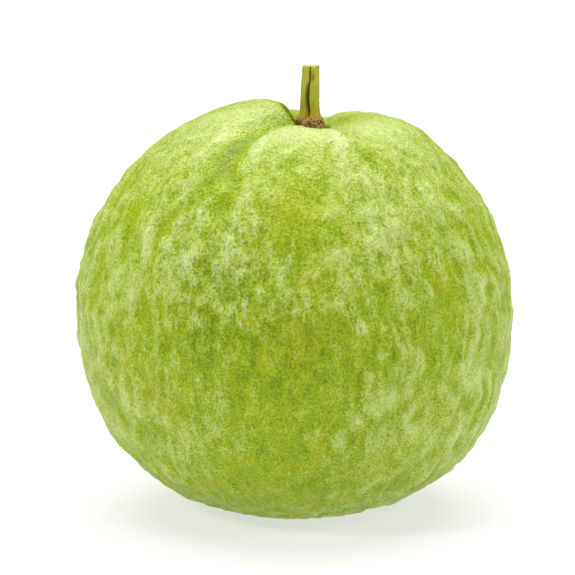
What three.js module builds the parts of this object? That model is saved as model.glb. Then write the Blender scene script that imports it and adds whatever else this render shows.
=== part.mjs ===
// A whole guava, picked with a length of its stalk, standing on its blossom end with the stalk up.
// Millimetres, +Z up, -Y to the front. The origin is on the table, under the middle of the fruit.
import * as THREE from "three";

// The fruit's overall size. An exponent of 2 gives an ellipse, and a larger one a squarer outline.
const WIDTH = 100; // left to right
const DEPTH = 97; // front to back
const BELLY_HEIGHT = 47.5; // the widest level, above the table
const CROWN_RISE = 49.7; // from the belly to where the top would be without its hollow
const UPPER_EXPONENT = 1.86;
const LOWER_EXPONENT = 2.42;
const FOOT_RADIUS = 16.5; // the patch pressed flat by the fruit's own weight, measured at the sides

// The hollow that the stalk grows from. It lies off the fruit's middle, and one shoulder stands higher.
const HOLLOW_DEPTH = 7;
const HOLLOW_SPREAD = 20; // degrees, seen from the core
const STALK_OFFSET = 3.5; // along +X
const OFFSET_FADE = 30.5; // degrees over which that offset dies away down the sides
const SHOULDER_TILT = 3.2; // how much the high shoulder gains, and the one across from it loses
const HIGH_AZIMUTH = 168; // degrees: to the left, and a little to the back
const SHOULDER_DIP = 1.9; // how far the front and the back lie below the two shoulders
const SHOULDER_PLACE = 8.5; // degrees from the top
const SHOULDER_SPREAD = 15.5; // degrees

// Furrows run out of the hollow and fade down the shoulders, and leave four lobes between them.
const FURROWS = [
  { azimuth: -122, depth: 2.4, spread: 12 }, // front left, the deepest
  { azimuth: -48, depth: 1.1, spread: 13 },
  { azimuth: 74, depth: 2.6, spread: 12 },
  { azimuth: 126, depth: 2.6, spread: 11 },
];
const FURROW_PLACE = 19; // degrees from the top
const FURROW_REACH = 13; // degrees to each side of that

// Shallow grooves down the sides carry the lobes on, and there is a low bulge on the right.
const GROOVE_DEPTH = 0.7;
const BULGE_HEIGHT = 0.6;
const BULGE_PLACE = 132; // degrees from the top
const BULGE_SPREAD = 29; // degrees

// The stalk, with a corky foot where it joins the fruit.
const STALK_RADIUS = 1.85; // at the cut
const SHANK_RADIUS = 2.3; // above the cork
const STALK_LENGTH = 14.9; // from its seat to the cut
const STALK_LEAN = 0.3; // along +X at the cut
const STALK_SQUARENESS = 0.04; // a guava's stalk is four-angled, by this share of its radius
const CUT_BEVEL = 0.15;
const CORK_RADIUS = 3.45;
const CORK_HEIGHT = 3.2;
const STALK_SPLIT_AZIMUTH = -100; // degrees: a split down the front of the stalk
const STALK_SPLIT_DEPTH = 0.35;
const STALK_SPLIT_SPREAD = 14; // degrees
const SEAT_DROP = 3.4; // the level seat lies this far below the hollow's own bottom
const SEAT_MARGIN = 0.4; // from the corky foot to the edge of the level seat
const SEAT_EASE = 1.9; // the seat has eased into the hollow at this many times its radius

// The calyx, what is left of the flower, in a basin under the fruit.
const CALYX_RADIUS = 5; // where the sepals stand
const SEPAL_COUNT = 5;
const SEPAL_LENGTH = 4.6;
const SEPAL_LENGTH_SHARES = [1, 0.86, 0.94, 0.8, 0.9]; // no two sepals are alike
const SEPAL_THICKNESS = 0.7;
const SEPAL_SPLAY = 2.2; // how far a tip leans outwards
const SEPAL_TIP_SHARE = 0.16; // as a share of the width at its base
const STAMEN_RING_THICKNESS = 1;
const STAMEN_MARGIN = 1.3; // from the ring out to the sepals' roots
const STYLE_RADIUS = 0.55;
const STYLE_LENGTH = 3.1;
const STIGMA_RADIUS = 0.95;
const CALYX_HEADROOM = 0.8; // from the longest sepal's tip to the table
const ROOF_MARGIN = 0.7; // from the sepals' roots to the edge of the basin's level roof
const MOUTH_MARGIN = 3.4; // from a sepal's tip to the basin's mouth, across

// Separate solids that grew together keep this gap.
const GAP = 0.3;

// How finely the surfaces are divided.
const SKIN_AROUND = 64;
const SKIN_ROWS = 40;
const SKIN_POLE_CROWDING = 0.55; // from 0, evenly spaced rows, towards 1, rows crowded at both ends
const STALK_AROUND = 24;
const STALK_ROWS = 12;
const STALK_FOOT_CROWDING = 1.3; // above 1, rows crowded at the foot
const SEPAL_DIVISIONS = 5;
const FLOWER_AROUND = 24;
const FLOWER_SIDES = 8;

const { clamp, degToRad: rad, lerp, smoothstep } = THREE.MathUtils;

// A smooth hill of height 1 at 0, and the same with a flat top.
const hill = (x, width) => Math.exp(-((x / width) ** 2));
const mesa = (x, width) => Math.exp(-((x / width) ** 4));

// The angle between two azimuths, in radians, from -pi to pi.
const turnBetween = (a, b) => Math.atan2(Math.sin(a - b), Math.cos(a - b));

// Below the belly the outline would fall this far. It passes the table at the foot's radius.
const bellyFall =
  BELLY_HEIGHT / (1 - (FOOT_RADIUS / (WIDTH / 2)) ** LOWER_EXPONENT) ** (1 / LOWER_EXPONENT);

// The basin's roof is as high and as wide as the calyx needs, and its mouth clears the sepals' tips.
const calyxRoof = CALYX_HEADROOM + SEPAL_LENGTH + GAP;
const sepalReach = CALYX_RADIUS + SEPAL_THICKNESS;
const roofAngle = Math.asin((sepalReach + ROOF_MARGIN) / bellyFall);
const mouthAngle = Math.asin((sepalReach + SEPAL_SPLAY + MOUTH_MARGIN) / bellyFall);

// The stalk's seat is as wide as the corky foot needs.
const hollowFloor = CROWN_RISE - HOLLOW_DEPTH;
const stalkSeat = BELLY_HEIGHT + hollowFloor - SEAT_DROP;
const footReach = CORK_RADIUS * (1 + STALK_SQUARENESS);
const seatAngle = Math.asin((footReach + SEAT_MARGIN) / hollowFloor);

// The distance from the core, on the fruit's axis at belly height, to the plain rounded form.
function plainRadius(polar, azimuth) {
  const across = 1 / Math.hypot(Math.cos(azimuth) / (WIDTH / 2), Math.sin(azimuth) / (DEPTH / 2));
  const upper = Math.cos(polar) > 0;
  const upright = upper ? CROWN_RISE : bellyFall;
  const exponent = upper ? UPPER_EXPONENT : LOWER_EXPONENT;
  const sum =
    (Math.sin(polar) / across) ** exponent + (Math.abs(Math.cos(polar)) / upright) ** exponent;
  return sum ** (-1 / exponent);
}

// How deep the furrows are in one direction.
function furrowDepth(polar, azimuth) {
  const along = mesa(polar - rad(FURROW_PLACE), rad(FURROW_REACH));
  return FURROWS.reduce(
    (sum, f) =>
      sum + f.depth * along * hill(turnBetween(azimuth, rad(f.azimuth)), rad(f.spread)),
    0,
  );
}

// The distance from the core to the skin.
function skinRadius(polar, azimuth) {
  const hollow = HOLLOW_DEPTH * hill(polar, rad(HOLLOW_SPREAD));
  const onShoulder =
    hill(polar - rad(SHOULDER_PLACE), rad(SHOULDER_SPREAD)) *
    Math.min(polar / rad(SHOULDER_PLACE), 1);
  const shoulder =
    SHOULDER_TILT * Math.cos(azimuth - rad(HIGH_AZIMUTH)) -
    SHOULDER_DIP * Math.sin(azimuth) ** 2;
  const bulge =
    BULGE_HEIGHT * hill(polar - rad(BULGE_PLACE), rad(BULGE_SPREAD)) * Math.sin(polar);
  const groove = GROOVE_DEPTH * (Math.sin(2 * azimuth) * Math.sin(polar)) ** 2;
  return (
    plainRadius(polar, azimuth) +
    shoulder * onShoulder +
    bulge * Math.cos(azimuth) -
    groove -
    hollow -
    furrowDepth(polar, azimuth)
  );
}

// A point of the skin. The stalk's seat, the calyx's roof and the foot are level.
function skinPoint(polar, azimuth) {
  const radius = skinRadius(polar, azimuth);
  const across = radius * Math.sin(polar);
  const height = Math.max(BELLY_HEIGHT + radius * Math.cos(polar), 0);
  const offSeat = smoothstep(polar, seatAngle, SEAT_EASE * seatAngle);
  const offRoof = smoothstep(Math.PI - polar, roofAngle, mouthAngle);
  return new THREE.Vector3(
    across * Math.cos(azimuth) + STALK_OFFSET * hill(polar, rad(OFFSET_FADE)),
    across * Math.sin(azimuth),
    polar < Math.PI / 2
      ? lerp(stalkSeat, height, offSeat)
      : lerp(calyxRoof, height, offRoof),
  );
}

// Moves each vertex of a geometry to where a function puts it, and renews its normals.
function reshaped(geometry, place) {
  const points = geometry.getAttribute("position");
  const from = new THREE.Vector3();
  for (let i = 0; i < points.count; i++) {
    from.fromBufferAttribute(points, i);
    points.setXYZ(i, ...place(from));
  }
  geometry.computeVertexNormals();
  return geometry;
}

// A lathe turns about Y, so its result is stood up along Z.
const turned = (profile, around) =>
  new THREE.LatheGeometry(profile, around).rotateX(Math.PI / 2);

// A unit ball, turned with its rows crowded towards both poles, and then pushed out to the skin.
function fruitGeometry() {
  const profile = Array.from({ length: SKIN_ROWS + 1 }, (_, row) => {
    const share = row / SKIN_ROWS;
    const crowded = share - (SKIN_POLE_CROWDING * Math.sin(2 * Math.PI * share)) / (2 * Math.PI);
    const fromBottom = Math.PI * crowded;
    const atPole = row === 0 || row === SKIN_ROWS;
    return new THREE.Vector2(atPole ? 0 : Math.sin(fromBottom), -Math.cos(fromBottom));
  });
  return reshaped(turned(profile, SKIN_AROUND), (p) =>
    skinPoint(Math.acos(clamp(p.z, -1, 1)), Math.atan2(p.y, p.x)),
  );
}

// The stalk's radius at a height above its foot: a shank that tapers to the cut, on a corky foot.
function stalkRadius(height, length) {
  const shank = lerp(SHANK_RADIUS, STALK_RADIUS, height / length);
  return shank + (CORK_RADIUS - SHANK_RADIUS) * mesa(height, CORK_HEIGHT);
}

function stalkGeometry() {
  const length = STALK_LENGTH - GAP;
  const shank = length - CUT_BEVEL;
  const profile = [new THREE.Vector2(0, 0)];
  for (let row = 0; row <= STALK_ROWS; row++) {
    const height = shank * (row / STALK_ROWS) ** STALK_FOOT_CROWDING;
    profile.push(new THREE.Vector2(stalkRadius(height, length), height));
  }
  profile.push(new THREE.Vector2(STALK_RADIUS - CUT_BEVEL, length));
  profile.push(new THREE.Vector2(0, length));
  return reshaped(turned(profile, STALK_AROUND), ({ x, y, z }) => {
    const azimuth = Math.atan2(y, x);
    const split =
      (STALK_SPLIT_DEPTH / STALK_RADIUS) *
      hill(turnBetween(azimuth, rad(STALK_SPLIT_AZIMUTH)), rad(STALK_SPLIT_SPREAD));
    const share = 1 + STALK_SQUARENESS * Math.cos(4 * azimuth) - split;
    return [x * share + STALK_LEAN * (z / length) ** 2, y * share, z];
  });
}

// One sepal at azimuth 0, hanging from the roof: a plate that narrows to its tip, follows the ring
// that it stands on, and leans outwards. Its box gives it a width x, a thickness y and a length z.
function sepalGeometry(length) {
  const halfTurn = Math.PI / SEPAL_COUNT - GAP / CALYX_RADIUS / 2;
  const box = new THREE.BoxGeometry(2, 1, 1, SEPAL_DIVISIONS, 1, SEPAL_DIVISIONS);
  return reshaped(box, ({ x, y, z }) => {
    const along = z + 0.5;
    const width = 1 - (1 - SEPAL_TIP_SHARE) * along ** 2;
    const azimuth = x * halfTurn * width;
    const radius = CALYX_RADIUS + (0.5 + y) * SEPAL_THICKNESS + SEPAL_SPLAY * along ** 2;
    return [radius * Math.cos(azimuth), radius * Math.sin(azimuth), -length * along];
  });
}

// The dried stamens, as one low ring inside the sepals.
function stamenRingGeometry() {
  const half = STAMEN_RING_THICKNESS / 2;
  const radius = CALYX_RADIUS - STAMEN_MARGIN - half;
  return new THREE.TorusGeometry(radius, half, FLOWER_SIDES, FLOWER_AROUND).translate(0, 0, -half);
}

// The dried style, hanging from the roof, with its stigma as a knob at the end.
function styleGeometry() {
  const knobCentre = STIGMA_RADIUS - STYLE_LENGTH;
  const neckAngle = Math.acos(STYLE_RADIUS / STIGMA_RADIUS);
  const profile = Array.from({ length: FLOWER_SIDES + 1 }, (_, step) => {
    const angle = lerp(-Math.PI / 2, neckAngle, step / FLOWER_SIDES);
    const across = step === 0 ? 0 : STIGMA_RADIUS * Math.cos(angle);
    return new THREE.Vector2(across, knobCentre + STIGMA_RADIUS * Math.sin(angle));
  });
  profile.push(new THREE.Vector2(STYLE_RADIUS, 0), new THREE.Vector2(0, 0));
  return turned(profile, FLOWER_AROUND);
}

const skin = new THREE.MeshStandardMaterial({ color: 0xa8bd4d, roughness: 0.45 });
const stalk = new THREE.MeshStandardMaterial({ color: 0x8f9138, roughness: 0.65 });
const driedSepal = new THREE.MeshStandardMaterial({ color: 0x80693a, roughness: 0.8 });
const driedFlower = new THREE.MeshStandardMaterial({ color: 0x5c4227, roughness: 0.9 });

function named(name, geometry, material) {
  const mesh = new THREE.Mesh(geometry, material);
  mesh.name = name;
  return mesh;
}

const guava = new THREE.Group();
guava.add(named("fruit_body", fruitGeometry(), skin));

const stem = named("stem", stalkGeometry(), stalk);
stem.position.set(STALK_OFFSET, 0, stalkSeat + GAP);
guava.add(stem);

const calyx = new THREE.Group();
calyx.position.z = calyxRoof - GAP;
for (let i = 0; i < SEPAL_COUNT; i++) {
  const length = SEPAL_LENGTH * SEPAL_LENGTH_SHARES[i % SEPAL_LENGTH_SHARES.length];
  const sepal = named(`sepal_${i + 1}`, sepalGeometry(length), driedSepal);
  sepal.rotation.z = (2 * Math.PI * i) / SEPAL_COUNT;
  calyx.add(sepal);
}
calyx.add(named("stamen_ring", stamenRingGeometry(), driedFlower));
calyx.add(named("style_stub", styleGeometry(), driedFlower));
guava.add(calyx);

export default guava;
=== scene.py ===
"""A whole green guava with a length of its stalk, standing on its blossom end on a pale floor."""

import math

import bpy
import numpy as np
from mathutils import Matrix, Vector


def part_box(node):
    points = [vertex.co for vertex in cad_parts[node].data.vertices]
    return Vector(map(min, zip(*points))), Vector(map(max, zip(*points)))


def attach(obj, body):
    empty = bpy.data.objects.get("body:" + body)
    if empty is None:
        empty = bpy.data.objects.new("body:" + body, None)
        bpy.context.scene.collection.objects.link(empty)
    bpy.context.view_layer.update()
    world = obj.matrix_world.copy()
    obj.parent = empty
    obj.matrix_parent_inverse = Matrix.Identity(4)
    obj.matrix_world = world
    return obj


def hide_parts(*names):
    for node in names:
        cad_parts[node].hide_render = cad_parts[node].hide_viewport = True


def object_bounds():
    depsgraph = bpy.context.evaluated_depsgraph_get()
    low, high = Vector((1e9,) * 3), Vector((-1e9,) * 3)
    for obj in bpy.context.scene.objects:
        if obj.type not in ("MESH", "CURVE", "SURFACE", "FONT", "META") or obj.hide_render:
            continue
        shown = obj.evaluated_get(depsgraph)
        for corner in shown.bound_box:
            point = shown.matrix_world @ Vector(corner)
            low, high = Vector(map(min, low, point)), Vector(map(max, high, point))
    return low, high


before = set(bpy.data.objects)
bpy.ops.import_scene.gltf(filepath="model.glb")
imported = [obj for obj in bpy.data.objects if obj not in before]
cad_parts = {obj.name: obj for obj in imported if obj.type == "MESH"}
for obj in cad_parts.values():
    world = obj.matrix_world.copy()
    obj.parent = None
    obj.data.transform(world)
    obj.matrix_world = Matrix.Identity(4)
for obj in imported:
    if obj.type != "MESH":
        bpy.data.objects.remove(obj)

cad_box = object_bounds()

# ---------------------------------------------------------------------------------------------
# The camera looks down a little on the fruit from the front, through a long lens that keeps the
# fruit's outline nearly free of perspective.

camera_height = math.radians(11)  # above the horizon
camera_distance = 0.61
camera_lens = 165.8  # millimetres, on a sensor 36 wide
aim_offset = Vector((-0.0016, 0, -0.0004))  # from the middle of the whole guava

aim = (Vector(cad_box[0]) + Vector(cad_box[1])) / 2 + aim_offset
camera = bpy.data.objects.new("camera", bpy.data.cameras.new("camera"))
bpy.context.collection.objects.link(camera)
camera.data.sensor_width = 36
camera.data.lens = camera_lens
camera.data.clip_start = 0.01
towards_camera = Vector((0, -math.cos(camera_height), math.sin(camera_height)))
camera.location = aim + camera_distance * towards_camera
camera.rotation_euler = towards_camera.to_track_quat("Z", "Y").to_euler()
bpy.context.scene.camera = camera

# ---------------------------------------------------------------------------------------------
# The fruit: firm green skin over flesh, grown in one piece out of the flower. Its skin is waxy,
# finely pitted and wrinkled, knobbly round the belly, and drawn into furrows round the stalk.

fruit_low, fruit_high = (np.array(corner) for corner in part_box("fruit_body"))
stalk_low, stalk_high = (np.array(corner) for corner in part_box("stem"))
half_width, half_depth = (fruit_high - fruit_low)[:2] / 2

belly_height = 0.0475  # the widest level, above the table
crown_rise = 0.0497  # from the belly to where the top would be without its hollow
upper_exponent = 1.86  # 2 would be an ellipse, and more is squarer
lower_exponent = 2.42
foot_radius = 0.0165  # where the skin meets the table

hollow_depth = 0.007
hollow_spread = math.radians(20)
stalk_offset = 0.0035
offset_fade = math.radians(30.5)
shoulder_tilt = 0.0032
high_azimuth = math.radians(168)
shoulder_dip = 0.0019
shoulder_place = math.radians(8.5)
shoulder_spread = math.radians(15.5)
seat_gap = 0.0003  # between the stalk's foot and its seat
seat_angle = math.radians(4.6)
seat_ease = 1.85

# The calyx basin under the fruit: its level roof, and the mouth that opens on the table.
basin_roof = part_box("sepal_1")[1][2] + seat_gap
roof_angle = math.radians(7.5)
mouth_angle = math.radians(13.4)

# Azimuth, depth and spread of the furrows that run out of the hollow, with lobes between them.
furrows = [
    (-122, 0.0024, 12),
    (-48, 0.0011, 13),
    (74, 0.0026, 12),
    (126, 0.0026, 11),
]
furrow_place = math.radians(19)
furrow_reach = math.radians(13)
groove_depth = 0.0007
bulge_height = 0.0006
bulge_place = math.radians(132)
bulge_spread = math.radians(29)

# Pits, knobs and folds that stand out from the rest, most of them on the front: azimuth, angle
# from the top, half the width and half the length in degrees, and the height in millimetres.
landmarks = [
    (-117, 76, 2.6, 3.4, -0.40),
    (-107, 77, 4.0, 2.6, -0.45),
    (-100, 74, 3.2, 2.4, -0.40),
    (-106, 82, 3.0, 3.0, 0.45),
    (-91, 80, 3.0, 2.6, 0.30),
    (-81, 79, 2.8, 2.6, 0.30),
    (-85, 87, 7.0, 3.6, -0.40),
    (-72, 86, 2.2, 2.2, 0.35),
    (-83, 95, 2.2, 4.6, -0.35),
    (-73, 97, 2.6, 4.2, -0.40),
    (-113, 94, 2.0, 4.6, -0.45),
    (-124, 92, 2.4, 3.6, -0.35),
    (-104, 99, 2.2, 3.4, -0.30),
    (-120, 108, 1.8, 4.0, -0.35),
    (-109, 101, 2.2, 5.0, 0.30),
    (-106, 111, 2.8, 2.6, -0.30),
    (-81, 111, 3.0, 3.4, -0.35),
    (-64, 95, 1.8, 3.0, -0.30),
    (-50, 103, 2.0, 3.4, -0.30),
    (-69, 70, 1.2, 2.6, -0.30),
    (-65, 72, 1.2, 3.4, -0.30),
    (-76, 71, 1.2, 5.0, 0.28),
    (-58, 67, 1.8, 1.8, -0.25),
    (-123, 59, 1.5, 5.0, 0.25),
    (-109, 66, 1.5, 5.0, 0.28),
    (-103, 68, 1.5, 4.0, -0.28),
    (-98, 92, 1.3, 4.0, 0.25),
    (-121, 33, 5.5, 17, -1.00),
    (-109, 34, 4.5, 10, 0.38),
    (-70, 31, 4.5, 10, 0.45),
    (-60, 39, 3.5, 5, -0.40),
    (-134, 30, 5.0, 12, 0.40),
    (100, 16, 20, 10, -3.00),
    (160, 8, 28, 2.5, -1.80),
    (155, 24, 20, 8, -0.70),
    (15, 42, 20, 8, -0.50),
    (-137, 64, 2.5, 8, 0.25),
    (-128, 66, 2.2, 9, 0.25),
    (-119, 58, 2.4, 9, 0.25),
    (-132, 66, 2.0, 8, -0.25),
    (-124, 64, 1.8, 8, -0.30),
    (-115, 62, 2.0, 8, -0.30),
    (-113, 52, 2.5, 5, -0.35),
    (-105, 60, 1.8, 6, -0.30),
]

# Where the waxy bloom, with painted sheen on it, is thick or worn off, where the sun has turned the
# skin a faint russet, and where it has shrunk to leather: azimuth, angle from the top, half the
# width, half the length in degrees, and strength.
sheen_and_bloom_places = [
    (-112, 62, 16, 14, -0.10),
    (-148, 20, 26, 18, 0.45),
    (-92, 25, 17, 9, 0.75),
    (-108, 34, 4, 9, 0.30),
    (-70, 31, 5, 9, 0.45),
    (-30, 26, 34, 16, 0.40),
    (-120, 34, 6, 20, -1.00),
    (-52, 14, 9, 9, -0.50),
    (38, 10, 25, 6, -0.80),
    (-60, 39, 6, 3, -0.50),
    (-137, 64, 3, 7, 0.32),
    (-128, 66, 2.5, 8, 0.42),
    (-119, 56, 3, 7, 0.34),
    (-109, 59, 2.5, 4, 0.38),
    (-102, 61, 2.5, 4, 0.45),
    (-112, 72, 3, 5, 0.38),
    (-121, 71, 3, 6, 0.35),
    (-103, 70, 2, 4, 0.45),
    (-106, 79, 6, 3, 0.50),
    (-98, 73, 5, 5, -0.40),
    (-88, 62, 10, 8, -0.35),
    (-94, 94, 27, 22, -0.66),
    (-90, 91, 7, 7, -0.30),
    (-46, 85, 7, 13, -0.55),
    (-128, 51, 8, 8, 0.35),
    (-71, 49, 9, 8, 0.30),
    (-95, 71, 10, 5, 0.50),
    (-64, 110, 14, 14, 0.16),
    (-62, 93, 8, 6, 0.25),
    (-120, 115, 10, 10, 0.25),
    (-90, 134, 20, 8, -0.15),
    (-90, 145, 90, 30, -0.30),
    (-38, 80, 10, 34, 0.38),
    (-70, 66, 9, 9, 0.30),
    (-60, 62, 8, 12, 0.26),
    (-148, 100, 9, 26, 0.15),
    (-137, 79, 3, 8, 0.40),
    (60, 70, 50, 30, 0.45),
    (150, 50, 40, 25, 0.45),
    (100, 17, 20, 9, 0.50),
]
russets = [
    (-93, 53, 8, 5, 0.8),
    (-77, 53, 5, 4, 0.6),
    (-81, 40, 4, 5, 0.6),
    (-131, 106, 9, 5, 0.7),
    (-48, 109, 6, 5, 0.5),
    (-88, 88, 8, 7, 0.4),
    (20, 95, 20, 12, 0.7),
    (120, 80, 14, 16, 0.6),
]
nook_shades = [  # painted shade, where the stalk's foot shades the skin
    (35, 5.2, 40, 1.3, 0.9),
    (-150, 6.5, 20, 2.0, 0.5),
]
leathery = [
    (-112, 74, 18, 16, 0.9),
    (-88, 86, 22, 14, 0.5),
    (-105, 100, 34, 18, 0.35),
    (-58, 72, 20, 16, 0.4),
    (45, 90, 50, 30, 0.5),
    (150, 85, 40, 26, 0.6),
]

skin_around = 448
skin_rows = 216
skin_crowding = 0.3  # towards 1, rows crowd at both poles


def hill(x, width):
    """A smooth hill of height 1 at x = 0: e to the power of minus the square of x over width."""
    return np.exp(-((x / width) ** 2))


def mesa(x, width):
    """A hill with a flat top: e to the power of minus the fourth power of x over width."""
    return np.exp(-((x / width) ** 4))


def ease(x, start, end):
    """0 below start and 1 above end, with 3 t squared minus 2 t cubed between them."""
    t = np.clip((x - start) / (end - start), 0, 1)
    return t * t * (3 - 2 * t)


def turn(a, b):
    """The angle between two azimuths, from -pi to pi."""
    return np.arctan2(np.sin(a - b), np.cos(a - b))


chance = np.random.default_rng(5)
lattice = np.tile(chance.permutation(256), 2)
slopes = chance.normal(size=(256, 3))
slopes /= np.linalg.norm(slopes, axis=1, keepdims=True)


def noise(points):
    """Gradient noise: each corner of a point's unit cell has a random slope, and the heights that
    the eight slopes give at the point are blended with the weight 6 t^5 - 15 t^4 + 10 t^3."""
    cell = np.floor(points).astype(int)
    part = points - cell
    fade = part**3 * (part * (part * 6 - 15) + 10)
    total = 0
    for corner in np.ndindex(2, 2, 2):
        x, y, z = np.moveaxis((cell + corner) % 256, -1, 0)
        slope = slopes[lattice[lattice[lattice[x] + y] + z]]
        weight = np.prod(np.where(corner, fade, 1 - fade), axis=-1)
        total = total + weight * ((part - corner) * slope).sum(-1)
    return 1.8 * total


def ball(polar, azimuth):
    """The unit direction at an angle from the top and an azimuth."""
    return np.stack(
        [np.sin(polar) * np.cos(azimuth), np.sin(polar) * np.sin(azimuth), np.cos(polar)], axis=-1
    )


def streak(polar, azimuth, around, along):
    """Coordinates for noise that follows the meridians: about one cell per 1/around of the radius
    sideways and 1/along of it lengthwise, with fewer cells side by side towards the poles."""
    ring = around * np.sin(polar) ** 0.6
    return np.stack([ring * np.cos(azimuth), ring * np.sin(azimuth), along * polar], axis=-1)


def spots(polar, azimuth, places):
    """The sum of hills at places, each an ellipse in azimuth and angle from the top."""
    return sum(
        strength
        * hill(turn(azimuth, math.radians(place)), math.radians(width))
        * hill(polar - math.radians(down), math.radians(length))
        for place, down, width, length, strength in places
    )


def skin_relief(polar, azimuth):
    """The skin's lumps, as heights in metres: broad swells, wavy ribs down the meridians, knobs
    round the belly, and the landmarks as hills. Returns the height and the share of it that is
    small enough to show as colour."""
    way = ball(polar, azimuth)
    wander = 0.10 * noise(way * 5 + 3.1)
    swells = 0.35 * noise(way * 6.5) + 0.2 * noise(way * 11 + 7.7)
    here = 0.5 + 0.5 * np.clip(1.6 * noise(way * 3 + 11), -1, 1)
    ribs = noise(streak(polar, azimuth + wander, 15, 5.5))
    fine_ribs = noise(streak(polar, azimuth + 0.6 * wander, 28, 10) + 5)
    knobs = noise(way * 14 + 21)
    small_knobs = noise(way * 27 + 33)
    belly = hill(polar - math.radians(90), math.radians(40))
    sides = ease(polar, math.radians(12), math.radians(40))
    sides *= ease(math.pi - polar, math.radians(14), math.radians(34))
    lumps = (
        (0.26 + 0.30 * here) * ribs
        + 0.20 * fine_ribs
        + (0.10 + 0.36 * belly * (1 - 0.5 * here)) * knobs
        + (0.06 + 0.14 * belly) * small_knobs
    )
    lumps = lumps * (0.5 + 0.5 * ease(polar, math.radians(30), math.radians(65)))
    lumps = (lumps + spots(polar, azimuth + 0.4 * wander, landmarks)) * (0.35 + 0.65 * sides)
    return 0.001 * (swells * sides + lumps), lumps


def skin_points(polar, azimuth, relief):
    """A super-ellipse turned about the fruit's axis, seen from its core at belly height, less the
    hollow, the furrows and the grooves, plus the shoulders, the bulge and the relief. The stalk's
    seat, the calyx's roof and the foot are then levelled."""
    across = 1 / np.hypot(np.cos(azimuth) / half_width, np.sin(azimuth) / half_depth)
    fall = belly_height / (1 - (foot_radius / half_width) ** lower_exponent) ** (1 / lower_exponent)
    upright = np.where(polar < math.pi / 2, crown_rise, fall)
    exponent = np.where(polar < math.pi / 2, upper_exponent, lower_exponent)
    plain = (
        (np.sin(polar) / across) ** exponent + (np.abs(np.cos(polar)) / upright) ** exponent
    ) ** (-1 / exponent)
    hollow = hollow_depth * hill(polar, hollow_spread)
    on_shoulder = hill(polar - shoulder_place, shoulder_spread)
    on_shoulder = on_shoulder * np.minimum(polar / shoulder_place, 1)
    shoulder = shoulder_tilt * np.cos(azimuth - high_azimuth) - shoulder_dip * np.sin(azimuth) ** 2
    bulge = bulge_height * hill(polar - bulge_place, bulge_spread) * np.sin(polar)
    groove = groove_depth * (np.sin(2 * azimuth) * np.sin(polar)) ** 2
    furrow = sum(
        depth * hill(turn(azimuth, math.radians(place)), math.radians(spread))
        for place, depth, spread in furrows
    )
    furrow = furrow * mesa(polar - furrow_place, furrow_reach)
    reach = plain + shoulder * on_shoulder + bulge * np.cos(azimuth)
    reach = reach - groove - hollow - furrow + relief
    height = np.maximum(belly_height + reach * np.cos(polar), 0)
    seat = stalk_low[2] - seat_gap
    off_seat = ease(polar, seat_angle, seat_ease * seat_angle)
    off_roof = ease(math.pi - polar, roof_angle, mouth_angle)
    level = np.where(
        polar < math.pi / 2,
        seat + (height - seat) * off_seat,
        basin_roof + (height - basin_roof) * off_roof,
    )
    shift = stalk_offset * hill(polar, offset_fade)
    return np.stack(
        [
            reach * np.sin(polar) * np.cos(azimuth) + shift,
            reach * np.sin(polar) * np.sin(azimuth),
            level,
        ],
        axis=-1,
    )


def tubes(name, rings, loop=False, **values):
    """A mesh of closed tubes from an array of points [tube, ring, step round it, xyz], with the
    rings counted from the top: squares between the rings, and a fan to the middle of each end
    ring, or in a loop squares from the last ring to the first. values gives each point a number
    or a vector by name, in an array [tube, ring, step]."""
    count, length, around = rings.shape[:3]
    body = count * length * around
    index = np.arange(body).reshape(count, length, around)
    upper, lower = (index, np.roll(index, -1, axis=1)) if loop else (index[:, :-1], index[:, 1:])
    squares = np.stack(
        [upper, lower, np.roll(lower, -1, axis=2), np.roll(upper, -1, axis=2)], axis=-1
    )
    tip = np.broadcast_to(body + np.arange(count)[:, None], (count, around))
    beside = np.roll(index, -1, axis=2)
    tops = np.stack([tip, index[:, 0], beside[:, 0]], axis=-1)
    bottoms = np.stack([tip + count, beside[:, -1], index[:, -1]], axis=-1)
    fans = np.concatenate([tops.ravel(), bottoms.ravel()])[: 0 if loop else None]
    corners = np.concatenate([squares.ravel(), fans])
    sizes = np.concatenate([np.full(squares[..., 0].size, 4), np.full(len(fans) // 3, 3)])
    ends = [] if loop else [0, -1]
    points = np.concatenate([rings.reshape(-1, 3), *[rings[:, end].mean(axis=1) for end in ends]])
    mesh = bpy.data.meshes.new(name)
    mesh.vertices.add(len(points))
    mesh.vertices.foreach_set("co", points.ravel())
    mesh.loops.add(len(corners))
    mesh.loops.foreach_set("vertex_index", corners)
    mesh.polygons.add(len(sizes))
    mesh.polygons.foreach_set("loop_start", np.concatenate([[0], np.cumsum(sizes)[:-1]]))
    mesh.polygons.foreach_set("use_smooth", np.ones(len(sizes), dtype=bool))
    mesh.update(calc_edges=True)
    mesh.validate()
    for word, value in values.items():
        size = value.shape[3:]
        at_ends = [value[:, end].mean(axis=1) for end in ends]
        flat = np.concatenate([value.reshape(-1, *size), *at_ends]).astype(np.float32)
        kind, field = ("FLOAT_VECTOR", "vector") if size else ("FLOAT", "value")
        mesh.attributes.new(word, kind, "POINT").data.foreach_set(field, flat.ravel())
    piece = bpy.data.objects.new(name, mesh)
    bpy.context.collection.objects.link(piece)
    return piece


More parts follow.
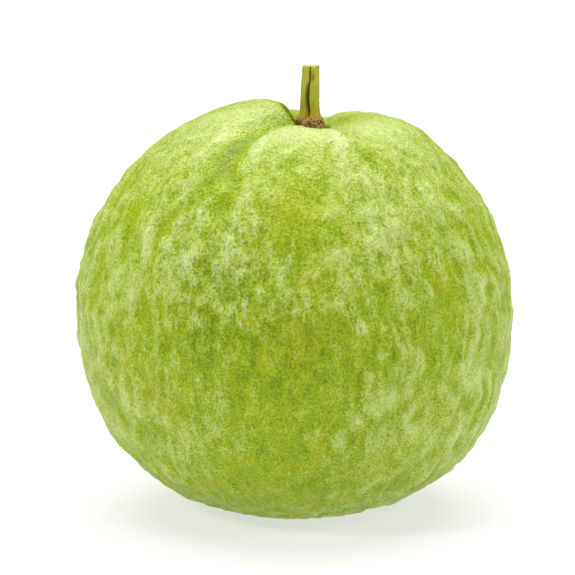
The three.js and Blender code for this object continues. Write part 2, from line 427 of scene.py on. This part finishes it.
class Wire:
    """A value in a material. Arithmetic on wires and numbers adds the Math nodes that do it."""

    def __init__(self, tree, socket):
        self.tree = tree
        self.socket = socket

    @staticmethod
    def plug(tree, socket, value):
        """Links a wire to a socket, or sets the socket's own value."""
        if isinstance(value, Wire):
            tree.links.new(value.socket, socket)
        else:
            socket.default_value = value

    def math(self, operation, *values, clamp=False):
        """Adds a Math node with the values on its sockets."""
        sums = self.tree.nodes.new("ShaderNodeMath")
        sums.operation = operation
        sums.use_clamp = clamp
        for socket, value in zip(sums.inputs, values):
            self.plug(self.tree, socket, value)
        return Wire(self.tree, sums.outputs[0])

    def __add__(self, other):
        return self.math("ADD", self, other)

    def __sub__(self, other):
        return self.math("SUBTRACT", self, other)

    def __rsub__(self, other):
        return self.math("SUBTRACT", other, self)

    def __mul__(self, other):
        return self.math("MULTIPLY", self, other)

    def __pow__(self, other):
        return self.math("POWER", self, other)

    __radd__ = __add__
    __rmul__ = __mul__

    def clipped(self):
        """The value held between 0 and 1."""
        return self.math("ADD", self, 0, clamp=True)

    def absolute(self):
        """The value without its sign."""
        return self.math("ABSOLUTE", self)

    def between(self, start, end):
        """0 below start and 1 above end, smoothly."""
        span = self.tree.nodes.new("ShaderNodeMapRange")
        span.interpolation_type = "SMOOTHSTEP"
        span.inputs["From Min"].default_value = start
        span.inputs["From Max"].default_value = end
        self.plug(self.tree, span.inputs["Value"], self)
        return Wire(self.tree, span.outputs[0])


class Finish:
    """A material with one Principled shader, whose sockets are fed by expressions on wires."""

    def __init__(self, name):
        self.material = bpy.data.materials.new(name)
        self.material.use_nodes = True
        self.tree = self.material.node_tree
        self.shader = self.tree.nodes["Principled BSDF"]

    def node(self, kind, settings=(), output=0, **sockets):
        """Adds a node. settings are its own properties, with a ramp's stops, from the lowest to
        the highest, under that name. sockets are its inputs by name, with _ for a space, or by
        number after an n."""
        made = self.tree.nodes.new("ShaderNode" + kind)
        for word, value in dict(settings).items():
            if word == "stops":
                elements = made.color_ramp.elements
                for place, colour in value[1:-1]:
                    elements.new(place)
                for element, (place, colour) in zip(elements, value):
                    element.position = place
                    element.color = (*colour, 1)
            else:
                setattr(made, word, value)
        for word, value in sockets.items():
            key = int(word[1:]) if word[1:].isdigit() else word.replace("_", " ")
            Wire.plug(self.tree, made.inputs[key], value)
        return Wire(self.tree, made.outputs[output])

    def attribute(self, name, output="Fac"):
        """A value that the mesh gives each of its points."""
        return self.node("Attribute", {"attribute_name": name}, output)

    def noise(self, where, scale, detail=2, roughness=0.5):
        """Noise from 0 to 1 at a scale in cells per metre."""
        return self.node(
            "TexNoise", Vector=where, Scale=scale, Detail=detail, Roughness=roughness
        )

    def blend(self, share, one, other):
        """A colour between two colours, one at share 0 and other at share 1."""
        return self.node(
            "Mix",
            {"data_type": "RGBA"},
            2,
            n0=share,
            n6=one if isinstance(one, Wire) else (*one, 1),
            n7=other if isinstance(other, Wire) else (*other, 1),
        )

    def bump(self, height, distance, below=None):
        """A normal bent by a height, whose full range is a distance in metres."""
        sockets = {} if below is None else {"Normal": below}
        return self.node("Bump", Height=height, Distance=distance, Strength=1.0, **sockets)

    def feed(self, **sockets):
        """Links or sets sockets of the shader, by name with _ for a space."""
        for word, value in sockets.items():
            Wire.plug(self.tree, self.shader.inputs[word.replace("_", " ")], value)


row = np.arange(skin_rows) / (skin_rows - 1)
row = row - skin_crowding * np.sin(2 * math.pi * row) / (2 * math.pi)
pole = math.radians(0.4)  # the first and last rows' distance from the poles
polar, azimuth = np.meshgrid(
    pole + (math.pi - 2 * pole) * row,
    2 * math.pi * np.arange(skin_around) / skin_around,
    indexing="ij",
)
relief, lumps = skin_relief(polar, azimuth)
fruit = tubes(
    "guava_fruit",
    skin_points(polar, azimuth, relief)[None],
    lumps=np.clip(lumps, -0.6, 1)[None],
    meridian=(half_width * streak(polar, azimuth, 1, 1))[None],
    from_top=polar[None],
    bloom=spots(polar, azimuth, sheen_and_bloom_places)[None],
    russet=spots(polar, azimuth, russets)[None],
    leathery=spots(polar, azimuth, leathery)[None],
    nook=spots(polar, azimuth, nook_shades)[None],
)

sunk_green_and_shade = (0.190, 0.300, 0.0005)
raised_yellow = (0.520, 0.660, 0.010)
rubbed_green = (0.385, 0.540, 0.002)
ripe_yellow = (0.46, 0.50, 0.001)
leaf_green = (0.25, 0.43, 0.003)
russet_gold = (0.50, 0.44, 0.005)
speck_brown = (0.16, 0.19, 0.005)
wax_and_sheen_white = (0.73, 0.81, 0.41)
grain_painted_shade = (0.02, 0.03, 0.002)
basin_brown = (0.12, 0.075, 0.02)
seat_painted_shade = (0.06, 0.07, 0.008)

# Where one kind of skin gives way to the next, and where the painted shade of the stalk's seat
# ends, in radians from the top.
seat_shade_edge = (0.085, 0.14)
crown_edge = (0.5, 1.1)
under_edge = (1.65, 2.2)
basin_edge = (math.pi - 0.28, math.pi - 0.13)

skin = Finish("guava_skin")
place = skin.node("TexCoord", output="Object")
along = skin.attribute("meridian", "Vector")
height = skin.attribute("lumps")
top_angle = skin.attribute("from_top")

grain = skin.noise(place, 1900, 2, 0.6)
leather = 1 - (2 * skin.noise(place, 900, 1, 0.5) - 1).absolute()
folded = skin.noise(skin.node("Mapping", Vector=along, Scale=(1, 1, 0.6)), 480, 1, 0.5)
folds = (1 - (2 * folded - 1).absolute()) ** 2
wrinkles = skin.noise(skin.node("Mapping", Vector=along, Scale=(1, 1, 0.5)), 470, 2, 0.6)
patches = skin.noise(place, 110, 3, 0.6)
cloud = skin.noise(place, 32, 2, 0.5)
yellowing = skin.noise(place, 170, 3, 0.6)
specks = 1 - skin.node("TexVoronoi", Vector=place, Scale=170.0).between(0.05, 0.12)

# Green and darker where the skin sinks, partly painted shade in the hollows, and yellower where it
# stands up, with grain all over it. The crown is calmer than the sides, and the tips of the highest
# knobs are rubbed green.
waxy_sheen_spots = skin.attribute("bloom")
marked = 1 - 0.2 * top_angle.between(*under_edge)
lively = 0.55 + 0.45 * top_angle.between(*crown_edge)
shrunk = (0.2 + skin.attribute("leathery")).clipped()
depth = 0.5 + 0.4 * height * marked + 0.2 * waxy_sheen_spots + 0.45 * lively * (patches - 0.5)
depth = depth + 0.5 * lively * (wrinkles - 0.5) + 1.6 * (grain - 0.5)
depth = depth + 0.4 * shrunk * (folds - 0.65)
colour = skin.node(
    "ValToRGB",
    {"stops": [(0.0, sunk_green_and_shade), (0.9961, raised_yellow), (1.0, rubbed_green)]},
    Fac=depth,
)
colour = skin.blend(yellowing.between(0.5, 0.68) * 0.38, colour, ripe_yellow)
colour = skin.blend((1 - yellowing).between(0.5, 0.68) * 0.33, colour, leaf_green)
russet = skin.attribute("russet") * cloud.between(0.3, 0.6) * (0.4 + 0.8 * patches)
colour = skin.blend(russet * 0.5, colour, russet_gold)
colour = skin.blend(specks * 0.4, colour, speck_brown)

# The bloom and painted sheen: pale wax, thick on the ridges and on the crests of the leathery
# grain, where it also stands in for painted highlights, and none in the stalk's seat. Over it come
# painted shade in the fine grain, the dry basin and painted shade in the stalk's seat.
wax_and_sheen = 0.10 + 0.6 * waxy_sheen_spots + 0.7 * lively * (cloud - 0.5) + 0.65 * height * marked
wax_and_sheen = wax_and_sheen + lively * (0.5 * (patches - 0.5) + (0.6 + 0.5 * shrunk) * (wrinkles - 0.5))
wax_and_sheen = wax_and_sheen + shrunk * (0.65 * (leather ** 3 - 0.55) + 0.5 * (folds - 0.65))
# Painted shade in the stalk's seat and beside its foot, which also keeps the wax off it.
seat = (1 - top_angle.between(*seat_shade_edge) + skin.attribute("nook")).clipped()
wax_and_sheen = (wax_and_sheen + 0.8 * (grain - 0.5) - 1.5 * seat).clipped()
# The pale wax, partly real bloom and partly painted sheen and highlights, stronger on the crown.
colour = skin.blend(wax_and_sheen * (1.05 - 0.23 * lively), colour, wax_and_sheen_white)
# Painted shade in the fine grain, darkening it towards a near-black green.
colour = skin.blend(((0.58 - grain) * 0.6).clipped(), colour, grain_painted_shade)
basin = top_angle.between(*basin_edge)
colour = skin.blend(basin * (0.7 + 0.3 * patches), colour, basin_brown)
# The painted shade of the stalk's seat.
colour = skin.blend(seat * 0.85, colour, seat_painted_shade)

# The relief that is finer than the mesh: wrinkles and folds, and on them the grain.
wrinkle_height = 0.0024
grain_height = 0.0008
coarse = 0.6 * wrinkles * (0.4 + 0.62 * shrunk) + 0.22 * folds * shrunk
coarse = skin.bump(coarse, wrinkle_height)
surface = skin.bump(0.30 * leather * shrunk + 0.38 * grain, grain_height, coarse)
skin.feed(
    Base_Color=colour,
    Roughness=0.32 + 0.16 * grain - 0.12 * shrunk,
    Normal=surface,
    Specular_IOR_Level=0.22,
)
fruit.data.materials.append(skin.material)
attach(fruit, "root")
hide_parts("fruit_body")

# ---------------------------------------------------------------------------------------------
# The stalk: a green woody twig cut across at the top, four-angled, split down its front as it
# dried, and set on a crumbly corky foot where it was joined to the fruit.

stalk_radius = 0.00185
shank_radius = 0.0023
cork_radius = 0.0031
cork_height = 0.0032
stalk_lean = 0.0003
cut_bevel = 0.00015
split_azimuth = math.radians(-93)
split_depth = 0.00050
channel_width = math.radians(15)
channel_depth = 0.00016  # of the sunk strip beside the split
fibre_height = 0.00007
crumb_height = 0.00038
crumblet_height = 0.00015
crumbs_per_metre = 1500
scar_azimuth = math.radians(-76)
scar_share = 0.17  # of the way down from the cut
stalk_around = 144
stalk_rows = 150

foot = stalk_low[2]
stalk_length = stalk_high[2] - foot


def stalk_points(share, turn_round):
    """The twig from its cut, share 0, to its foot, share 1: a radius that grows from the cut to
    the shank and flares into the corky foot, four low corners, a split down the front with a jog
    in it, a sunk strip beside the split, lengthwise fibres and crumbly lumps on the cork. Returns
    the points, and from 0 to 1 how far each is in the split, in the strip and on the cork."""
    up = (1 - share) * stalk_length
    shank = shank_radius + (stalk_radius - shank_radius) * up / stalk_length
    cork = mesa(up, cork_height)
    fallen = 1 - up / stalk_length
    split_at = split_azimuth - 0.14 * ease(fallen, 0.2, 0.3) + 0.10 * ease(fallen, 0.4, 0.75)
    split_width = math.radians(6) + math.radians(2) * ease(fallen, 0.15, 0.6)
    offset = turn(turn_round + 0.04 * np.sin(16 * share), split_at)
    split = split_depth * np.exp(-np.abs(offset / split_width) ** 1.3) * (1 - cork)
    channel = mesa(offset + math.radians(10), channel_width) * ease(fallen, 0.16, 0.36)
    edge = np.stack([np.cos(turn_round), np.sin(turn_round), 0 * share], axis=-1)
    fibres = fibre_height * noise(edge * 9 + np.stack([0 * up, 0 * up, up * 260], axis=-1))
    crumbs_at = edge * shank[..., None] + np.stack([0 * up, 0 * up, up], axis=-1)
    crumbs_at = crumbs_at * crumbs_per_metre
    crumbs = crumb_height * np.abs(noise(crumbs_at)) + crumblet_height * noise(crumbs_at * 2.3)
    radius = (
        (shank + (cork_radius - shank_radius) * cork) * (1 + 0.04 * np.cos(4 * turn_round))
        - split
        - channel_depth * channel * (1 - cork)
        + fibres * (1 - cork)
        + crumbs * cork
    )
    radius = radius - cut_bevel * (1 - ease(share, 0, 0.012))
    middle = stalk_offset + stalk_lean * (up / stalk_length) ** 2
    points = np.stack(
        [middle + radius * np.cos(turn_round), radius * np.sin(turn_round), foot + up], axis=-1
    )
    return points, np.clip(split / split_depth, 0, 1), channel, cork


share, turn_round = np.meshgrid(
    (np.arange(stalk_rows) / (stalk_rows - 1)) ** 1.15,
    2 * math.pi * np.arange(stalk_around) / stalk_around,
    indexing="ij",
)
side_points, split, channel, cork = stalk_points(share, turn_round)
scar = hill(turn(turn_round, scar_azimuth), 0.30) * hill(share - scar_share, 0.06)

# The cut: rings from its middle to the rim, a little domed and rough.
cut_rings = 6
cut_dome = 0.00005
cut_roughness = 0.00010
rim = side_points[0]
centre = rim.mean(axis=0)
cut_points = np.stack([centre + (rim - centre) * (k + 0.5) / cut_rings for k in range(cut_rings)])
cut_points[..., 2] += cut_roughness * noise(cut_points * 2600) + cut_dome
stalk_rings = np.concatenate([cut_points, side_points])


def on_stalk(on_cut, on_side):
    """The values of an attribute: one for all of the cut, and an array for the side."""
    return np.concatenate([np.full((cut_rings, stalk_around), on_cut), on_side])[None]


stem = tubes(
    "guava_stalk",
    stalk_rings[None],
    split=on_stalk(0, split),
    cork=on_stalk(0, cork),
    cut=on_stalk(1, 0 * cork),
    up=stalk_rings[..., 2][None] - foot,
    channel=on_stalk(0, channel),
    scar=on_stalk(0, scar),
)

bark_olive = (0.27, 0.25, 0.004)
bark_pale = (0.70, 0.72, 0.12)
bark_green = (0.48, 0.49, 0.020)
cork_dark = (0.035, 0.010, 0.001)
cork_pale = (0.82, 0.47, 0.21)
cork_red = (0.30, 0.112, 0.022)
channel_painted_shade = (0.15, 0.135, 0.0005)
scar_brown = (0.24, 0.12, 0.008)
foot_gold = (0.52, 0.34, 0.012)
rust_brown = (0.30, 0.16, 0.010)
split_brown = (0.07, 0.050, 0.0005)
cut_cream = (0.55, 0.53, 0.27)

bark = Finish("stalk_bark")
place = bark.node("TexCoord", output="Object")
fibre = bark.noise(bark.node("Mapping", Vector=place, Scale=(1, 1, 0.12)), 2600, 3, 0.6)
stain = bark.noise(bark.node("Mapping", Vector=place, Scale=(1, 1, 0.4)), 420, 3, 0.6)
bands = bark.noise(bark.node("Mapping", Vector=place, Scale=(1, 1, 0.08)), 1000, 1, 0.5)
crumb = bark.noise(place, 1500, 4, 0.65)

# Past the last stop but one the colour changes at once: the palest streaks are greener, and the
# palest crumbs are worn red.
green = bark.node(
    "ValToRGB",
    {"stops": [(0.30, bark_olive), (0.70, bark_pale), (0.701, bark_green)]},
    Fac=0.4 * fibre + 0.3 * stain + 0.3 * bands,
)
brown = bark.node(
    "ValToRGB",
    {"stops": [(0.38, cork_dark), (0.64, cork_pale), (0.641, cork_red)]},
    Fac=crumb,
)

# Over the green: painted shade in the sunk strip, the scar, a golden ring just above the cork,
# rusty blots, the split, the cork with its ragged edge, and the pale wood of the cut.
above = bark.attribute("up")
gold = above.between(0.0018, 0.0030) * (1 - above.between(0.0036, 0.0062))
# Painted shade on the sunk strip beside the split.
colour = bark.blend(bark.attribute("channel") * 0.95, green, channel_painted_shade)
colour = bark.blend(bark.attribute("scar") * 0.8, colour, scar_brown)
colour = bark.blend(gold * crumb, colour, foot_gold)
rust = bark.noise(place, 340, 3, 0.6).between(0.56, 0.68)
colour = bark.blend(rust * 0.5, colour, rust_brown)
colour = bark.blend(bark.attribute("split").between(0.25, 0.8), colour, split_brown)
fringe = bark.noise(place, 520, 2, 0.6)
corky = bark.attribute("cork") + 0.5 * (crumb - 0.5) + 0.9 * (fringe - 0.5)
colour = bark.blend(corky.between(0.25, 0.7), colour, brown)
colour = bark.blend(bark.attribute("cut"), colour, cut_cream)
bark.feed(
    Base_Color=colour,
    Roughness=0.5 + 0.3 * crumb,
    Specular_IOR_Level=0.1,
    Normal=bark.bump(0.5 * fibre + 0.5 * crumb, 0.0005),
)
stem.data.materials.append(bark.material)
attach(stem, "root")
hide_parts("stem")

# ---------------------------------------------------------------------------------------------
# The calyx: five sepals of the flower, dried to thin brown paper. They hang side by side from the
# roof of the basin under the fruit, with their tips leaning outwards.

sepal_count = 5
sepal_nodes = [f"sepal_{i + 1}" for i in range(sepal_count)]
calyx_radius = 0.005
sepal_splay = 0.0022
sepal_half_turn = math.pi / sepal_count - 0.03
blade_thickness = 0.00032  # half of it, at the root
blade_middle = 0.00035  # outside the calyx radius
edge_curl = 0.0008
edge_fray = 0.0005
blade_rows = 40
blade_around = 40
calyx_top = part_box("sepal_1")[1][2]

vein_brown = (0.040, 0.020, 0.007)
straw = (0.46, 0.33, 0.12)
paper_brown = (0.19, 0.115, 0.032)

dry = Finish("dried_sepal")
place = dry.node("TexCoord", output="Object")
veins = dry.noise(dry.node("Mapping", Vector=place, Scale=(1, 1, 0.3)), 2200, 3, 0.6)
blotch = dry.noise(place, 500, 3, 0.6)
papery = dry.node(
    "ValToRGB",
    {"stops": [(0.32, vein_brown), (0.7, straw), (0.701, paper_brown)]},
    Fac=0.5 * veins + 0.5 * blotch,
)
dry.feed(Base_Color=papery, Roughness=0.7 + 0.2 * blotch, Normal=dry.bump(veins, 0.0008))

for i, node in enumerate(sepal_nodes):
    # Down the length of a blade and round its section: a lens that narrows to the tip, follows
    # the ring it hangs from, leans outwards, and curls and frays at its edge.
    length = calyx_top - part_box(node)[0][2]
    down, round_blade = np.meshgrid(
        np.sin(np.linspace(0, math.pi / 2, blade_rows)),
        -2 * math.pi * np.arange(blade_around) / blade_around,
        indexing="ij",
    )
    side = np.cos(round_blade)
    width = 0.06 + 0.94 * np.sqrt(1 - down**2.4)
    width = width * (1 + 0.12 * noise(np.stack([side, 7 * down, 0 * down + i], axis=-1)))
    swing = sepal_half_turn * width * side
    swelling = blade_thickness * (1 - 0.85 * down) * np.sin(round_blade)
    fray = noise(np.stack([2 * side * width, 3 * down, 0 * down + 9 * i + 0.5], axis=-1))
    curl = edge_curl * (side * width) ** 2 * down + edge_fray * fray * down
    radius = calyx_radius + blade_middle + swelling + sepal_splay * down**2 + curl
    angle = swing + 2 * math.pi * i / sepal_count
    blade = np.stack(
        [radius * np.cos(angle), radius * np.sin(angle), calyx_top - length * down], axis=-1
    )
    sepal = tubes("guava_" + node, blade[None])
    sepal.data.materials.append(dry.material)
    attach(sepal, "root")
    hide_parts(node)

# ---------------------------------------------------------------------------------------------
# The stamens: a low dry cushion in a ring inside the sepals, and on it the stumps of the threads
# that carried the pollen, broken off at different lengths as they withered.

ring_low, ring_high = (np.array(corner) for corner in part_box("stamen_ring"))
ring_thick = (ring_high - ring_low)[2] / 2
ring_radius = ring_high[0] - ring_thick
lap, section = np.meshgrid(
    2 * math.pi * np.arange(72) / 72, 2 * math.pi * np.arange(16) / 16, indexing="ij"
)
spoke = np.stack([np.cos(lap), np.sin(lap), 0 * lap], axis=-1)
swell = ring_thick * (0.9 + 0.2 * noise(spoke * 9 + np.sin(section)[..., None]))
ring_points = (ring_radius + swell * np.cos(section))[..., None] * spoke
ring_points[..., 2] = ring_low[2] + ring_thick + swell * np.sin(section)
cushion = tubes("guava_stamen_ring", ring_points[None], loop=True)
stump_count = 64
stump_radius = 0.00011
golden_share = 0.381966  # of a turn, from each stump to the next
stump_turn = 2 * math.pi * (np.arange(stump_count) * golden_share % 1)
stump_ring = ring_radius + ring_thick * chance.uniform(-0.7, 0.7, stump_count)
stump_length = chance.uniform(0.0007, 0.0019, stump_count)
stump_lean = chance.uniform(-0.45, 0.45, (stump_count, 2))
down, step = np.meshgrid(np.linspace(0, 1, 6), 2 * math.pi * np.arange(6) / 6, indexing="ij")
thread = stump_radius * (1 - 0.4 * down)
hang = down[None] * stump_length[:, None, None]
stumps = np.stack(
    [
        (stump_ring * np.cos(stump_turn))[:, None, None]
        + stump_lean[:, :1, None] * hang
        + thread * np.cos(step),
        (stump_ring * np.sin(stump_turn))[:, None, None]
        + stump_lean[:, 1:, None] * hang
        + thread * np.sin(step),
        ring_low[2] + ring_thick - hang,
    ],
    axis=-1,
)
threads = tubes("guava_stamen_stumps", stumps)

umber_dark = (0.025, 0.012, 0.006)
umber_pale = (0.22, 0.12, 0.05)

withered = Finish("withered_flower")
place = withered.node("TexCoord", output="Object")
crumb = withered.noise(place, 2400, 3, 0.6)
umber = withered.node(
    "ValToRGB",
    {"stops": [(0.3, umber_dark), (0.8, umber_pale)]},
    Fac=crumb,
)
withered.feed(Base_Color=umber, Roughness=0.75 + 0.2 * crumb, Normal=withered.bump(crumb, 0.0003))
for piece in (cushion, threads):
    piece.data.materials.append(withered.material)
    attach(piece, "root")
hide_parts("stamen_ring")

# ---------------------------------------------------------------------------------------------
# The style: a thin dry stub in the middle of the calyx, with the stigma as a knob at its end. It is
# withered like the stamens.

style_low, style_high = (np.array(corner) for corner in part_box("style_stub"))
style_radius = 0.00055
style_length = (style_high - style_low)[2]
knob = (style_high - style_low)[0] / 2  # its radius
down, step = np.meshgrid(
    np.linspace(0, 1, 40), 2 * math.pi * np.arange(24) / 24, indexing="ij"
)
drop = down * style_length
in_knob = np.clip((drop - style_length + 2 * knob) / (2 * knob), 0, 1)
round_knob = knob * np.sqrt(np.clip(1 - (2 * in_knob - 1) ** 2, 0.02, 1))
stub = np.maximum(style_radius * (in_knob < 0.9), round_knob)
wear = noise(np.stack([np.cos(step) * 2, np.sin(step) * 2, drop * 3000], axis=-1))
stub = stub * (1 + 0.12 * wear)
style = tubes(
    "guava_style",
    np.stack([stub * np.cos(step), stub * np.sin(step), style_high[2] - drop], axis=-1)[None],
)
style.data.materials.append(withered.material)
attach(style, "root")
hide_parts("style_stub")

# ---------------------------------------------------------------------------------------------
# The studio: a wide white floor lit from within, a broad soft light overhead, and a softbox at the
# left and one at the right, in a dim white room.

bpy.ops.mesh.primitive_plane_add(size=6)
floor = bpy.context.object
floor.name = "studio_floor"
paper = Finish("studio_paper")
paper.feed(
    Base_Color=(0.4, 0.4, 0.4, 1),
    Roughness=0.9,
    Specular_IOR_Level=0.0,
    Emission_Color=(1, 1, 1, 1),
    Emission_Strength=0.60,
)
floor.data.materials.append(paper.material)

overhead = bpy.data.objects.new("overhead", bpy.data.lights.new("overhead", "SUN"))
bpy.context.collection.objects.link(overhead)
overhead.data.energy = 4.0
overhead.data.angle = math.radians(70)
overhead.rotation_euler = (math.radians(-20), 0, 0)

# Name, degrees round from the camera and above the level, distance, width and power.
middle = Vector((0, 0, belly_height))
softboxes = [
    ("left", -55, 34, 0.8, 0.15, 2.4),
    ("right", 66, 28, 0.8, 0.4, 2.2),
]
for name, azimuth_from_camera, elevation, distance, size, power in softboxes:
    lamp = bpy.data.objects.new(name, bpy.data.lights.new(name, "AREA"))
    bpy.context.collection.objects.link(lamp)
    lamp.data.size = size
    lamp.data.energy = power
    side, up = math.radians(azimuth_from_camera), math.radians(elevation)
    way = Vector((math.sin(side) * math.cos(up), -math.cos(side) * math.cos(up), math.sin(up)))
    lamp.location = middle + distance * way
    lamp.rotation_euler = way.to_track_quat("Z", "Y").to_euler()

room = bpy.data.worlds.new("studio_room")
bpy.context.scene.world = room
room.use_nodes = True
background = room.node_tree.nodes["Background"]
background.inputs["Color"].default_value = (1, 1, 1, 1)
background.inputs["Strength"].default_value = 0.10
bpy.context.scene.view_settings.view_transform = "Standard"
